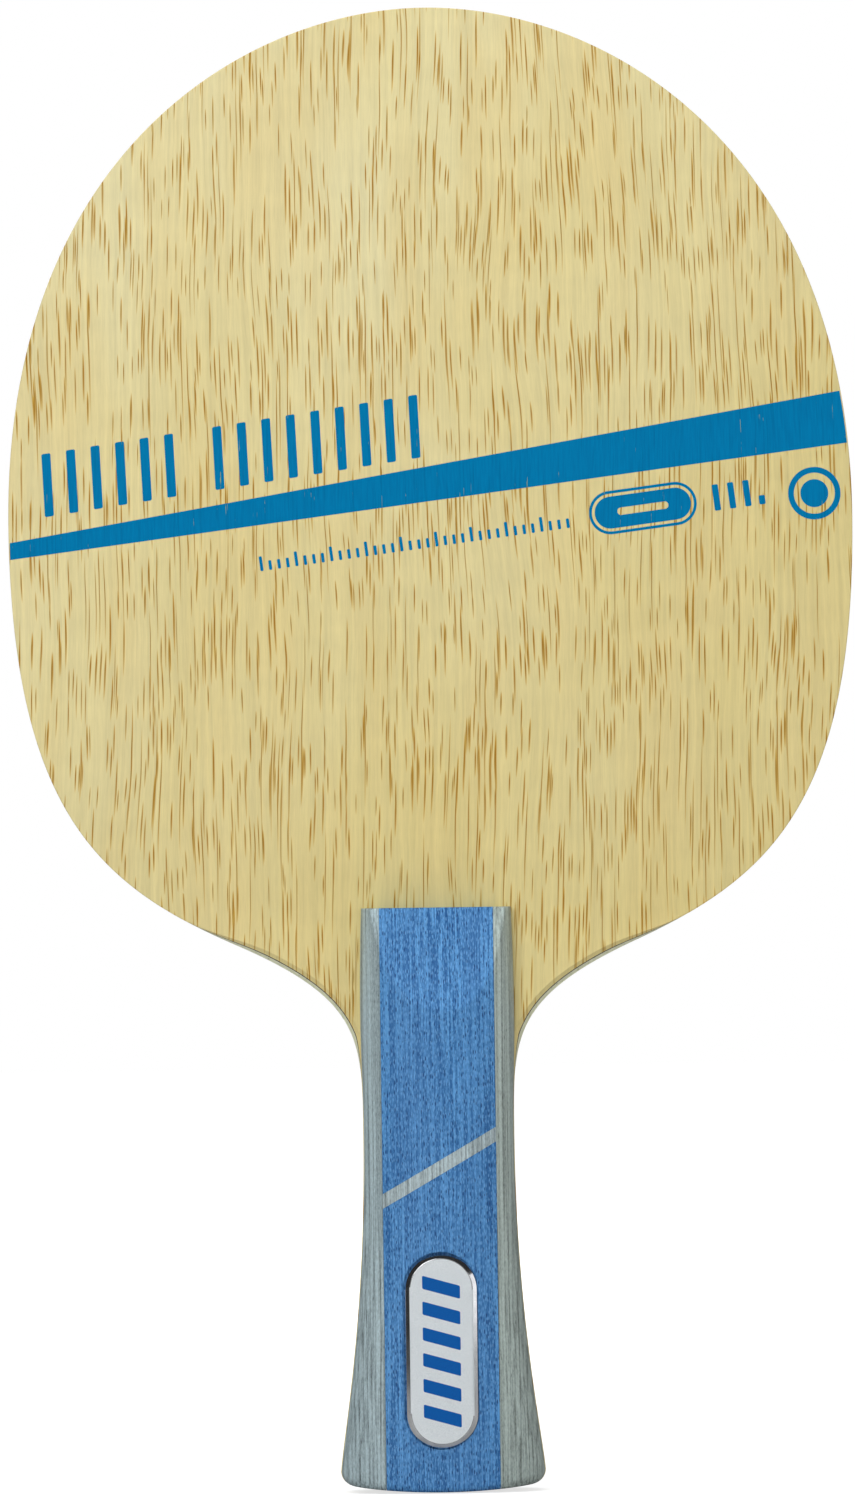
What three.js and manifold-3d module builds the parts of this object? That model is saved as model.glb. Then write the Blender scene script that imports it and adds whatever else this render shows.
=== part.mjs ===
// A table tennis blade with a flared handle, glued up from seven plies and two handle halves.
// Millimetres. +Z runs up the blade from the butt of the handle, +X across it, and the front
// face looks towards -Y. The origin is the middle of the butt end, on the blade's mid-plane.

import * as THREE from "three";
import { mergeVertices } from "three/addons/utils/BufferGeometryUtils.js";
import Module from "manifold-3d";

const wasm = await Module();
wasm.setup();

// Blade outline: half-widths in x and heights in z
const TOTAL_LENGTH = 260;
const HEAD_HALF_WIDTH = 74;
const HEAD_WIDEST_Z = 170;
const SHOULDER_X = 35;
const SHOULDER_Z = 96;
const SHOULDER_SLOPE = THREE.MathUtils.degToRad(24.1);
const WAIST_HALF_WIDTH = 13.25;
const WAIST_Z = 62;
const BUTT_HALF_WIDTH = 17.95;
const BUTT_EASE = 2.2;
const BUTT_CROWN = 1.3;
const BUTT_TOP_Z = BUTT_CROWN + BUTT_EASE;

// How far each end of the outline's curves pulls along its tangent
const HEAD_TOP_PULL = 31.5;
const HEAD_SIDE_PULL = 65;
const CHEEK_PULL = 50.5;
const SHOULDER_UP_PULL = 25.7;
const SHOULDER_DOWN_PULL = 24.4;
const NECK_PULL = 17;
const WAIST_PULL = 32;
const BUTT_PULL = 5.5;
const BUTT_SLOPE = THREE.MathUtils.degToRad(3.6);

// Ply thicknesses, from the middle out
const CORE_PLY = 3.25;
const INNER_PLY = 0.5;
const CARBON_FLEECE = 0.125;
const OUTER_PLY = 0.625;
const BLADE_THICKNESS = CORE_PLY + 2 * (INNER_PLY + CARBON_FLEECE + OUTER_PLY);

// Handle halves
const HANDLE_LENGTH = 102.2;
const HANDLE_END_HALF_WIDTH = 13.1;
const HANDLE_NECK_HALF_WIDTH = 13.5;
const HANDLE_NECK_Z = 84;
const WAIST_RISE = 8.6;
const BUTT_RISE = 9.8;
const CROWN_POWER = 2.4;
const FACE_EASE = 1.0;
const CENTRE_HALF_WIDTH = 10;
const GLUE_LINE = 0.05;

// Thumb slope at the blade end of each half
const THUMB_SLOPE_START_Z = 84.5;
const THUMB_END_RISE = 4.7;

// Diagonal inlay across the centre block
const INLAY_THICKNESS = 2.2;
const INLAY_CENTRE_Z = 56.7;
const INLAY_ANGLE = THREE.MathUtils.degToRad(30);

// Badge, a stadium seated in a recess of the front half
const BADGE_WIDTH = 12.5;
const BADGE_LENGTH = 34;
const BADGE_CENTRE_Z = 24.6;
const BADGE_THICKNESS = 1.3;
const BADGE_BEVEL = 0.6;
const ADHESIVE_THICKNESS = 0.15;
const RECESS_DEPTH = 1.1;
const RECESS_CLEARANCE = 0.1;

// Fineness of the faceted solids
const HEAD_STEPS = 14;
const NECK_STEPS = 10;
const FLARE_STEPS = 5;
const BUTT_STEPS = 4;
const CORNER_STEPS = 3;
const SECTION_STEPS = 16;
const HANDLE_ROWS = [14, 26, 38, 50, WAIST_Z, 73, HANDLE_NECK_Z, 93, HANDLE_LENGTH];
const CUTTER_SIZE = 400;

const COLOURS = {
  core: 0xe8d9b0,
  inner: 0xd9dcc0,
  carbon: 0x24262a,
  outer: 0xdccf97,
  blue: 0x3f7fc4,
  grey: 0x8e9c9a,
  metal: 0xd4d6d8,
  adhesive: 0xf0f0ee,
};

const material = (colour, roughness, metalness = 0) =>
  new THREE.MeshStandardMaterial({ color: colour, roughness, metalness });

const materials = {
  core: material(COLOURS.core, 0.7),
  inner: material(COLOURS.inner, 0.7),
  carbon: material(COLOURS.carbon, 0.6),
  outer: material(COLOURS.outer, 0.6),
  blue: material(COLOURS.blue, 0.5),
  grey: material(COLOURS.grey, 0.5),
  metal: material(COLOURS.metal, 0.3, 1),
  adhesive: material(COLOURS.adhesive, 0.9),
};

const blade = new THREE.Group();

function addPiece(name, geometry, finish, parent = blade) {
  const mesh = new THREE.Mesh(geometry, finish);
  mesh.name = name;
  parent.add(mesh);
}

// A closed geometry as a solid that can be cut, and a cut solid as a geometry again.
function toSolid(geometry) {
  const bare = geometry.index ? geometry.toNonIndexed() : geometry.clone();
  bare.deleteAttribute("normal");
  bare.deleteAttribute("uv");
  const merged = mergeVertices(bare);
  return new wasm.Manifold(
    new wasm.Mesh({
      numProp: 3,
      vertProperties: merged.attributes.position.array,
      triVerts: new Uint32Array(merged.index.array),
    }),
  );
}

function toGeometry(solid) {
  const mesh = solid.getMesh();
  const geometry = new THREE.BufferGeometry();
  geometry.setAttribute("position", new THREE.BufferAttribute(mesh.vertProperties, 3));
  geometry.setIndex(new THREE.BufferAttribute(mesh.triVerts, 1));
  return geometry;
}

// The flare of the handle, from the waist down to the butt's corner.
const flare = new THREE.CubicBezierCurve(
  new THREE.Vector2(WAIST_HALF_WIDTH, WAIST_Z),
  new THREE.Vector2(WAIST_HALF_WIDTH, WAIST_Z - WAIST_PULL),
  new THREE.Vector2(
    BUTT_HALF_WIDTH - BUTT_PULL * Math.sin(BUTT_SLOPE),
    BUTT_TOP_Z + BUTT_PULL * Math.cos(BUTT_SLOPE),
  ),
  new THREE.Vector2(BUTT_HALF_WIDTH, BUTT_TOP_Z),
);

// The butt end bows out a little in the middle.
const buttHeight = (x) => BUTT_CROWN * (x / BUTT_HALF_WIDTH) ** 2;

// The right half of the blade's outline, from the middle of the butt up to the top of the head.
function rightEdge() {
  const points = [];
  const cornerX = BUTT_HALF_WIDTH - BUTT_EASE;
  for (let i = 0; i < BUTT_STEPS; i++) {
    const x = (cornerX * i) / BUTT_STEPS;
    points.push(new THREE.Vector2(x, buttHeight(x)));
  }
  for (let i = 0; i < CORNER_STEPS; i++) {
    const angle = (Math.PI / 2) * (1 - i / CORNER_STEPS);
    const x = BUTT_HALF_WIDTH - BUTT_EASE * (1 - Math.cos(angle));
    points.push(new THREE.Vector2(x, buttHeight(x) + BUTT_EASE * (1 - Math.sin(angle))));
  }
  points.push(...flare.getPoints(FLARE_STEPS).reverse().slice(0, -1));

  const slopeX = Math.cos(SHOULDER_SLOPE);
  const slopeZ = Math.sin(SHOULDER_SLOPE);
  const neck = new THREE.Path();
  neck.moveTo(WAIST_HALF_WIDTH, WAIST_Z);
  neck.bezierCurveTo(
    WAIST_HALF_WIDTH,
    WAIST_Z + NECK_PULL,
    SHOULDER_X - SHOULDER_DOWN_PULL * slopeX,
    SHOULDER_Z - SHOULDER_DOWN_PULL * slopeZ,
    SHOULDER_X,
    SHOULDER_Z,
  );
  points.push(...neck.getPoints(NECK_STEPS).slice(0, -1));

  const head = new THREE.Path();
  head.moveTo(SHOULDER_X, SHOULDER_Z);
  head.bezierCurveTo(
    SHOULDER_X + SHOULDER_UP_PULL * slopeX,
    SHOULDER_Z + SHOULDER_UP_PULL * slopeZ,
    HEAD_HALF_WIDTH,
    HEAD_WIDEST_Z - CHEEK_PULL,
    HEAD_HALF_WIDTH,
    HEAD_WIDEST_Z,
  );
  head.bezierCurveTo(
    HEAD_HALF_WIDTH,
    HEAD_WIDEST_Z + HEAD_SIDE_PULL,
    HEAD_TOP_PULL,
    TOTAL_LENGTH,
    0,
    TOTAL_LENGTH,
  );
  points.push(...head.getPoints(HEAD_STEPS));
  return points;
}

function bladeShape() {
  const right = rightEdge();
  const left = right
    .slice(1, -1)
    .reverse()
    .map((p) => new THREE.Vector2(-p.x, p.y));
  return new THREE.Shape([...right, ...left]);
}

// A ply is the outline, thickened. Drawn in XY and stood up, it runs from frontY back to +Y.
function addPly(name, frontY, thickness, finish) {
  const geometry = new THREE.ExtrudeGeometry(bladeShape(), {
    depth: thickness,
    bevelEnabled: false,
  });
  geometry.rotateX(Math.PI / 2);
  geometry.translate(0, frontY + thickness, 0);
  addPiece(name, geometry, finish);
}

function addPlies() {
  const layers = [
    ["inner_ply", INNER_PLY, materials.inner],
    ["carbon_fleece", CARBON_FLEECE, materials.carbon],
    ["outer_ply", OUTER_PLY, materials.outer],
  ];
  addPly("core_ply", -CORE_PLY / 2, CORE_PLY, materials.core);
  let height = CORE_PLY / 2;
  for (const [name, thickness, finish] of layers) {
    addPly(`${name}_front`, -height - thickness, thickness, finish);
    addPly(`${name}_back`, height, thickness, finish);
    height += thickness;
  }
}

// Half-width of a handle half at height z: flush with the tongue up to the waist, a touch wider
// at the neck and narrower again at the blade end. The flare is searched for the height.
function handleHalfWidth(z) {
  if (z > HANDLE_NECK_Z) {
    const t = (z - HANDLE_NECK_Z) / (HANDLE_LENGTH - HANDLE_NECK_Z);
    return THREE.MathUtils.lerp(HANDLE_NECK_HALF_WIDTH, HANDLE_END_HALF_WIDTH, t * t);
  }
  if (z > WAIST_Z) {
    const t = (z - WAIST_Z) / (HANDLE_NECK_Z - WAIST_Z);
    return THREE.MathUtils.lerp(WAIST_HALF_WIDTH, HANDLE_NECK_HALF_WIDTH, t * t * (3 - 2 * t));
  }
  let low = 0;
  let high = 1;
  for (let i = 0; i < 30; i++) {
    const middle = (low + high) / 2;
    if (flare.getPoint(middle).y > z) low = middle;
    else high = middle;
  }
  return flare.getPoint(low).x;
}

// Height of the crown over the blade face at height z.
function handleRise(z) {
  const t = THREE.MathUtils.clamp(1 - z / WAIST_Z, 0, 1);
  return THREE.MathUtils.lerp(WAIST_RISE, BUTT_RISE, t * t * (3 - 2 * t));
}

// Rings of the handle half, from the butt up. The first few turn in round the eased butt edge.
function ringStations() {
  const stations = [];
  for (let i = 0; i <= CORNER_STEPS; i++) {
    stations.push({ z: BUTT_TOP_Z, ease: (Math.PI / 2) * (1 - i / CORNER_STEPS) });
  }
  return stations.concat(HANDLE_ROWS.map((z) => ({ z, ease: null })));
}

// A point of one ring. Its section is half of a superellipse, standing on the glue face.
function crownPoint({ z, ease }, column) {
  const angle = (Math.PI * column) / SECTION_STEPS;
  const across = Math.sign(Math.cos(angle)) * Math.abs(Math.cos(angle)) ** (2 / CROWN_POWER);
  const up = Math.sin(angle) ** (2 / CROWN_POWER);
  if (ease === null) {
    return [across * handleHalfWidth(z), -up * handleRise(z), z];
  }
  const turnIn = 1 - Math.cos(ease);
  const easing = THREE.MathUtils.lerp(FACE_EASE, BUTT_EASE, across * across);
  const x = across * (BUTT_HALF_WIDTH - BUTT_EASE * turnIn);
  const rise = up * (BUTT_RISE - FACE_EASE * turnIn);
  return [x, -rise, buttHeight(x) + easing * (1 - Math.sin(ease))];
}

// One half of the handle before it is cut up: a grid of points over the crown and the same grid
// on the glue face under it, closed at the butt and at the blade end.
function handleHalf() {
  const stations = ringStations();
  const crown = stations.map((station) =>
    Array.from({ length: SECTION_STEPS + 1 }, (_, column) => crownPoint(station, column)),
  );
  const face = crown.map((ring) => ring.map(([x, , z]) => [x, 0, z]));
  const positions = [];
  const apart = (p, q) => Math.hypot(p[0] - q[0], p[1] - q[1], p[2] - q[2]) > 1e-6;
  const triangle = (p, q, r) => {
    if (apart(p, q) && apart(q, r) && apart(r, p)) positions.push(...p, ...q, ...r);
  };
  const quad = (p, q, r, s) => {
    triangle(p, q, r);
    triangle(p, r, s);
  };
  const last = stations.length - 1;
  for (let i = 0; i < SECTION_STEPS; i++) {
    for (let row = 0; row < last; row++) {
      quad(crown[row][i + 1], crown[row][i], crown[row + 1][i], crown[row + 1][i + 1]);
      quad(face[row][i], face[row][i + 1], face[row + 1][i + 1], face[row + 1][i]);
    }
    quad(face[0][i], crown[0][i], crown[0][i + 1], face[0][i + 1]);
    quad(face[last][i + 1], crown[last][i + 1], crown[last][i], face[last][i]);
  }
  const geometry = new THREE.BufferGeometry();
  geometry.setAttribute("position", new THREE.Float32BufferAttribute(positions, 3));
  return toSolid(geometry);
}

// What the thumb slope takes off: everything above a plane that falls towards the blade end.
function thumbSlope() {
  const run = HANDLE_LENGTH - THUMB_SLOPE_START_Z;
  const angle = Math.atan2(WAIST_RISE - THUMB_END_RISE, run);
  const block = new THREE.BoxGeometry(CUTTER_SIZE, CUTTER_SIZE, CUTTER_SIZE);
  block.translate(0, -CUTTER_SIZE / 2, 0);
  block.rotateX(-angle);
  block.translate(0, -THUMB_END_RISE, HANDLE_LENGTH);
  return toSolid(block);
}

// A slab on the inlay's slope, from low to high measured square to the inlay.
function inlaySlab(low, high) {
  const slab = new THREE.BoxGeometry(CUTTER_SIZE, CUTTER_SIZE, high - low);
  slab.translate(0, 0, (low + high) / 2);
  slab.rotateY(-INLAY_ANGLE);
  slab.translate(0, 0, INLAY_CENTRE_Z);
  return toSolid(slab);
}

// An upright slab from x = low to x = high.
function acrossSlab(low, high) {
  const slab = new THREE.BoxGeometry(high - low, CUTTER_SIZE, CUTTER_SIZE);
  slab.translate((low + high) / 2, 0, 0);
  return toSolid(slab);
}

// A stadium in the XZ plane, standing on y = 0 and reaching out to y = -depth.
function stadium(width, length, depth, bevel = 0) {
  const radius = width / 2 - bevel;
  const straight = (length - width) / 2;
  const shape = new THREE.Shape();
  shape.absarc(0, straight, radius, 0, Math.PI);
  shape.absarc(0, -straight, radius, Math.PI, 2 * Math.PI);
  const geometry = new THREE.ExtrudeGeometry(shape, {
    depth: depth - bevel,
    curveSegments: 8,
    bevelEnabled: bevel > 0,
    bevelSize: bevel,
    bevelThickness: bevel,
    bevelSegments: 1,
  });
  return geometry.rotateX(Math.PI / 2);
}

// The badge plate is bevelled round its face only, so the back bevel is cut off.
function badgePlate() {
  const outside = new THREE.BoxGeometry(CUTTER_SIZE, CUTTER_SIZE, CUTTER_SIZE);
  outside.translate(0, -CUTTER_SIZE / 2, 0);
  const bevelled = stadium(BADGE_WIDTH, BADGE_LENGTH, BADGE_THICKNESS, BADGE_BEVEL);
  return toGeometry(toSolid(bevelled).intersect(toSolid(outside)));
}

const badgeRise = handleRise(BADGE_CENTRE_Z);
const badgeTilt = Math.atan2(
  handleRise(BADGE_CENTRE_Z - BADGE_LENGTH / 2) - handleRise(BADGE_CENTRE_Z + BADGE_LENGTH / 2),
  BADGE_LENGTH,
);

// Puts a geometry on the floor of the badge's recess, raised by lift, and tilts it with the crown.
function onRecessFloor(geometry, lift) {
  geometry.translate(0, -lift, 0);
  geometry.rotateX(-badgeTilt);
  return geometry.translate(0, RECESS_DEPTH - badgeRise, BADGE_CENTRE_Z);
}

function badgeRecess() {
  const width = BADGE_WIDTH + 2 * RECESS_CLEARANCE;
  const length = BADGE_LENGTH + 2 * RECESS_CLEARANCE;
  return toSolid(onRecessFloor(stadium(width, length, BUTT_RISE), 0));
}

// Each half is shaped as one and cut into its five pieces. The group turns the back half round.
function addHandleHalf(side, glueFaceY, turn) {
  const half = new THREE.Group();
  half.position.y = glueFaceY;
  half.rotation.z = turn;
  blade.add(half);

  const shaped = handleHalf().subtract(thumbSlope());
  const reach = CUTTER_SIZE / 2;
  const inner = CENTRE_HALF_WIDTH - GLUE_LINE / 2;
  const outer = CENTRE_HALF_WIDTH + GLUE_LINE / 2;
  const centre = shaped.intersect(acrossSlab(-inner, inner));
  const inlayEdge = INLAY_THICKNESS / 2;
  const upper = centre.intersect(inlaySlab(inlayEdge + GLUE_LINE, reach));
  const inlay = centre.intersect(inlaySlab(-inlayEdge, inlayEdge));
  let lower = centre.intersect(inlaySlab(-reach, -inlayEdge - GLUE_LINE));
  if (side === "front") lower = lower.subtract(badgeRecess());
  const left = shaped.intersect(acrossSlab(-reach, -outer));
  const right = shaped.intersect(acrossSlab(outer, reach));

  addPiece(`${side}_upper_block`, toGeometry(upper), materials.blue, half);
  addPiece(`${side}_inlay`, toGeometry(inlay), materials.grey, half);
  addPiece(`${side}_lower_block`, toGeometry(lower), materials.blue, half);
  addPiece(`${side}_left_strip`, toGeometry(left), materials.grey, half);
  addPiece(`${side}_right_strip`, toGeometry(right), materials.grey, half);
  return half;
}

function addBadge(half) {
  const adhesive = stadium(BADGE_WIDTH, BADGE_LENGTH, ADHESIVE_THICKNESS);
  onRecessFloor(adhesive, GLUE_LINE);
  addPiece("badge_adhesive", adhesive, materials.adhesive, half);
  const plate = onRecessFloor(badgePlate(), 2 * GLUE_LINE + ADHESIVE_THICKNESS);
  addPiece("badge_plate", plate, materials.metal, half);
}

addPlies();
const faceY = BLADE_THICKNESS / 2 + GLUE_LINE;
addBadge(addHandleHalf("front", -faceY, 0));
addHandleHalf("back", faceY, Math.PI);

export default blade;
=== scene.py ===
import bisect
import math

import bmesh
import bpy
from mathutils import Matrix, Vector


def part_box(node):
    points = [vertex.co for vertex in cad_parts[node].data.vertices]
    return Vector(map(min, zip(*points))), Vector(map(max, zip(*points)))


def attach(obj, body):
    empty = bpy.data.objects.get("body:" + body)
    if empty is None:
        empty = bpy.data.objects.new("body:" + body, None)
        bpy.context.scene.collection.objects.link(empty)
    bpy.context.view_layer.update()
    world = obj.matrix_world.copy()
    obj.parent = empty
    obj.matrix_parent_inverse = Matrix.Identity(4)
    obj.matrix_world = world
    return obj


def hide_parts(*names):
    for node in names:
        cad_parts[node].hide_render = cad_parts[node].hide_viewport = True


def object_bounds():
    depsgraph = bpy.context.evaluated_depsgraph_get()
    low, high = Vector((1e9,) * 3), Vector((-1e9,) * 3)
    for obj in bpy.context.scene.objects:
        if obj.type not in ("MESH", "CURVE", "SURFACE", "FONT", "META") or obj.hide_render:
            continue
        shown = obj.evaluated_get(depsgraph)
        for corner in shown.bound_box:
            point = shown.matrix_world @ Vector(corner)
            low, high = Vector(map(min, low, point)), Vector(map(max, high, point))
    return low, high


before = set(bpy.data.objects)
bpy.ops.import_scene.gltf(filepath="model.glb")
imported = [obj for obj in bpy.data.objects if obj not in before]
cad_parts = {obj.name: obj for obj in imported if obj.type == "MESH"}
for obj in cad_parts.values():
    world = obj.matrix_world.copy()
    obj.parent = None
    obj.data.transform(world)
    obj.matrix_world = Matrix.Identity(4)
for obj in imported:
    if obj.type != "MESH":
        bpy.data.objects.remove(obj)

# The blade stands on its butt: +Z runs up it, +X across it, and the front face looks to -Y.
# Shapes are worked out in millimetres and written to the meshes in metres.
MM = 0.001
SHARP_ANGLE = math.radians(28)
CAD_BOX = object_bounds()


def box_mm(node):
    low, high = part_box(node)
    return low / MM, high / MM


# Sizes that the frame gives
PLY_LOW, PLY_HIGH = box_mm("outer_ply_front")
TOTAL_LENGTH = PLY_HIGH.z
HEAD_HALF_WIDTH = PLY_HIGH.x
FACE_HEIGHT = -PLY_LOW.y
STRIP_LOW, STRIP_HIGH = box_mm("front_right_strip")
HANDLE_LENGTH = STRIP_HIGH.z
BUTT_HALF_WIDTH = STRIP_HIGH.x
STRIP_INNER_X = STRIP_LOW.x
GLUE_HEIGHT = -STRIP_HIGH.y
BLOCK_LOW, BLOCK_HIGH = box_mm("front_lower_block")
BLOCK_HALF_WIDTH = BLOCK_HIGH.x
BUTT_RISE = -BLOCK_LOW.y - GLUE_HEIGHT
BADGE_LOW, BADGE_HIGH = box_mm("badge_plate")
BADGE_WIDTH = BADGE_HIGH.x - BADGE_LOW.x
BADGE_CENTRE_Z = (BADGE_HIGH.z + BADGE_LOW.z) / 2

# The blade's outline, as in the CAD model: half-widths in x, heights in z, and how far each
# end of a curve pulls along its tangent
HEAD_WIDEST_Z = 170
SHOULDER = Vector((35, 96))
SHOULDER_SLOPE = math.radians(24.1)
WAIST_HALF_WIDTH = 13.25
WAIST_Z = 62
BUTT_EASE = 2.2
BUTT_CROWN = 1.3
BUTT_TOP_Z = BUTT_CROWN + BUTT_EASE
HEAD_TOP_PULL = 31.5
HEAD_SIDE_PULL = 65
CHEEK_PULL = 50.5
SHOULDER_UP_PULL = 25.7
SHOULDER_DOWN_PULL = 24.4
NECK_PULL = 17
WAIST_PULL = 32
BUTT_PULL = 5.5
BUTT_SLOPE = math.radians(3.6)
FLARE_STEPS = 50
NECK_STEPS = 60
CHEEK_STEPS = 90
HEAD_STEPS = 110

# Edges of the plies: a small round-over all round, and a bevel sanded at the neck, which fades in
# and out between pairs of heights. LEVEL_POWER crowds a ply's steps together under a face.
EDGE_ROUND = 0.22
BEVEL_WIDTH = 1.4
BEVEL_DEPTH = 1.25
BEVEL_FADE_IN = (71, 80)
BEVEL_FADE_OUT = (93, 101)
PLY_STEPS = {"core": 5, "inner": 5, "carbon": 2, "outer": 8}
LEVEL_POWER = 1.7

# Handle halves. A rise is a height over the glue face. The thumb slope is sanded from its start
# up to the blade end, and drops by THUMB_LEAN mm for each mm to the right.
NECK_HALF_WIDTH = 13.5
END_HALF_WIDTH = 13.1
NECK_Z = 84
WAIST_RISE = 8.6
CROWN_POWER = 2.4
FACE_EASE = 1.0
END_EASE = 0.25
SCALE_STEP = 0.12
THUMB_SLOPE_START_Z = 84.5
THUMB_END_RISE = 4.6
THUMB_LEAN = 0.03
THUMB_BLEND = 0.12
THUMB_BLEND_REACH = 4 * THUMB_BLEND
INLAY_THICKNESS = 2.2
INLAY_CENTRE_Z = 56.7
INLAY_SLOPE = math.tan(math.radians(30))
JOINT_GAP = 0.02
GRID_STEP = 0.5
BUTT_STEPS = 8
BUTT_END_STEPS = 12
STRIP_STEPS = 28
INLAY_STEPS = 6

# Badge and its recess. A lift is a height over the recess floor, and FACE_TOLERANCE is how far
# under the plate's face its marks begin.
BADGE_LENGTH = 34
BADGE_THICKNESS = 1.3
BADGE_BEVEL = 0.75
BADGE_EDGE = 0.05
BADGE_LIP = 0.08
RECESS_DEPTH = 1.1
RECESS_CLEARANCE = 0.26
RECESS_OFFSET = Vector((-0.12, 0, 0.12))
BADGE_SEAT = 0.25
BADGE_TOP = BADGE_SEAT + BADGE_THICKNESS
FACE_LIFT = BADGE_TOP - BADGE_LIP
FACE_TOLERANCE = 0.01
BADGE_STEPS = 32
BADGE_MARKS = 6
BADGE_MARK_PITCH = 4.5
BADGE_MARK_WIDTH = 6.6
BADGE_MARK_HEIGHT = 2.3
BADGE_MARK_SLANT = 0.28
BADGE_MARK_ROUND = 0.25

# Print on the front face. Places are (x, z), and a slope is a rise over a run. PILL_SLOT and
# DISC_DOT are (width, height, corner radius). ROUND_END times a height is a round end's radius.
INK_THICKNESS = 0.02
INK_BASE = FACE_HEIGHT - INK_THICKNESS / 4
INK_TOP = FACE_HEIGHT + INK_THICKNESS
INK_EDGE_GAP = 0.2
STRIPE_TOP_Z = 179.6
STRIPE_TOP_SLOPE = 0.1695
STRIPE_BOTTOM_Z = 173.45
STRIPE_BOTTOM_SLOPE = 0.1262
STRIPE_STEPS = 12
EDGE_SEARCH_STEPS = 12
BARS_START = (-67.2, 171.6)
BARS_SLOPE = 0.145
BAR_GROUPS = (6, 9)
BAR_INDENT = 1.0
BAR_WIDTH = 1.6
BAR_HEIGHT = 11.0
BAR_PITCH = 4.35
BAR_GROUP_GAP = 4.2
BAR_ROUND = 0.3
BAR_SLANT = 0.1
TICKS_START = (-29.6, 161.6)
TICK_COUNT = 36
TICK_PITCH = 1.55
TICK_WIDTH = 0.55
TICK_HEIGHT = 1.7
LONG_TICK_HEIGHT = 2.6
TICKS_TO_A_LONG_ONE = 4
TICK_ROUND = 0.2
MARKS_START = (49.6, 171.0)
MARK_PLACES = (0.9, 3.6, 6.3)
MARK_WIDTH = 1.1
MARK_HEIGHT = 4.6
MARK_ROUND = 0.25
DOT_PLACE = 8.8
DOT_HEIGHT = 1.6
PILL_CENTRE = (37.3, 171.7)
PILL_WIDTH = 19.0
PILL_HEIGHT = 7.6
PILL_INSETS = (0, 1, 2)
PILL_SLOT = (9.0, 1.3, 0.6)
PILL_STEPS = 14
DISC_CENTRE = (67.4, 173.9)
DISC_WIDTHS = (9.2, 7.2)
DISC_DOT = (4.9, 4.9, 2.44)
DISC_STEPS = 12
ROUND_END = 1 / 2.01

# Colours, as linear red, green and blue
VENEER_PALE = (0.808, 0.724, 0.400)
VENEER_RIPE = (0.755, 0.615, 0.238)
VENEER_WARM = (0.785, 0.628, 0.275)
PORE_GOLDEN = (0.62, 0.345, 0.03)
PORE_BROWN = (0.29, 0.12, 0.0)
INK_DEEP = (0.0, 0.178, 0.405)
INK_BRIGHT = (0.0, 0.212, 0.46)
INK_IN_PORES = (0.0, 0.11, 0.26)
INK_WORN_OFF = (0.36, 0.46, 0.13)
CORE_TONES = {"pale": (0.86, 0.76, 0.52), "dark": (0.68, 0.56, 0.33), "pore": (0.50, 0.36, 0.16)}
INNER_TONES = {"pale": (0.80, 0.80, 0.60), "dark": (0.60, 0.61, 0.42), "pore": (0.42, 0.42, 0.26)}
FLEECE_DARK = (0.012, 0.013, 0.015)
FLEECE_PALE = (0.055, 0.058, 0.062)
BLUE_DEEP = (0.012, 0.104, 0.310)
BLUE_BRIGHT = (0.118, 0.362, 0.725)
BLUE_DULL = (0.055, 0.19, 0.45)
BLUE_GLINT = (0.175, 0.43, 0.77)
BLUE_FLECK = (0.010, 0.058, 0.20)
GREY_PALE = (0.400, 0.490, 0.515)
# GREY_COOL_PAINTED_LIT and GREY_OLIVE_PAINTED_SHADE are one grey wood: the paler, cooler grey is
# painted light on the left strip, and the darker, olive grey is painted shade on the right strip.
GREY_COOL_PAINTED_LIT = (0.378, 0.480, 0.510)
GREY_OLIVE_PAINTED_SHADE = (0.375, 0.448, 0.422)
SATIN_DARK = (0.68, 0.735, 0.77)
SATIN_PALE = (0.85, 0.895, 0.92)
POLISH_DARK = (0.50, 0.51, 0.53)
POLISH_PALE = (0.66, 0.67, 0.69)
BADGE_INK_DEEP = (0.0, 0.085, 0.35)
BADGE_INK_BRIGHT = (0.0, 0.11, 0.42)
FOAM_PALE = (0.78, 0.78, 0.75)
FOAM_DARK = (0.62, 0.62, 0.60)
FLOOR_DARK = (0.54, 0.54, 0.54)
FLOOR_PALE = (0.56, 0.56, 0.56)
WHITE = (1.0, 1.0, 1.0, 1.0)

# Layers of pores in the veneer: a cell's width and length, the smallest and largest share of it
# that a dash takes up, the share of the cells that have one, and a shift
PORE_LAYERS = (
    (0.80, 26, 0.12, 0.25, 0.74, 0),
    (0.72, 15, 0.14, 0.26, 0.52, 31),
    (0.72, 70, 0.10, 0.18, 0.64, 57),
)

# Dyed wood: the pitch of the grey layers, the height where the grip is palest, how far from there
# it is dullest, and the depths under the thumb slope between which its lightening fades in. That
# lightening is partly a painted highlight, where the slope faces up to the light, and partly the
# grain cut at an angle.
LAYER_PITCH = 0.74
PALEST_Z = 73
PALEST_REACH = 60
SLOPE_HIGHLIGHT_FADE = (0.16, 0.04)

# Camera. The picture is as high as PICTURE_HEIGHT at the front face.
PICTURE_HEIGHT = 263.0
CAMERA_DISTANCE = 3.0
CAMERA_AIM = Vector((-1.05, 0, 129.82))
CAMERA_ROLL = math.radians(-0.8)
SENSOR = 36

# Studio: the strength of the world, and that in reflections. The floor, which is measured in
# metres, glows for the camera alone, and more strongly away from its middle.
AMBIENT = 0.2
AMBIENT_IN_REFLECTIONS = 0.04
FLOOR_GLOW = (0.7, 0.95)
FLOOR_GLOW_REACH = (0.1, 1.0)
FLOOR_HALF_SIZE = 4.0
FLOOR_SQUARES = 24
FLOOR_DROP = 0.0002

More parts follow.
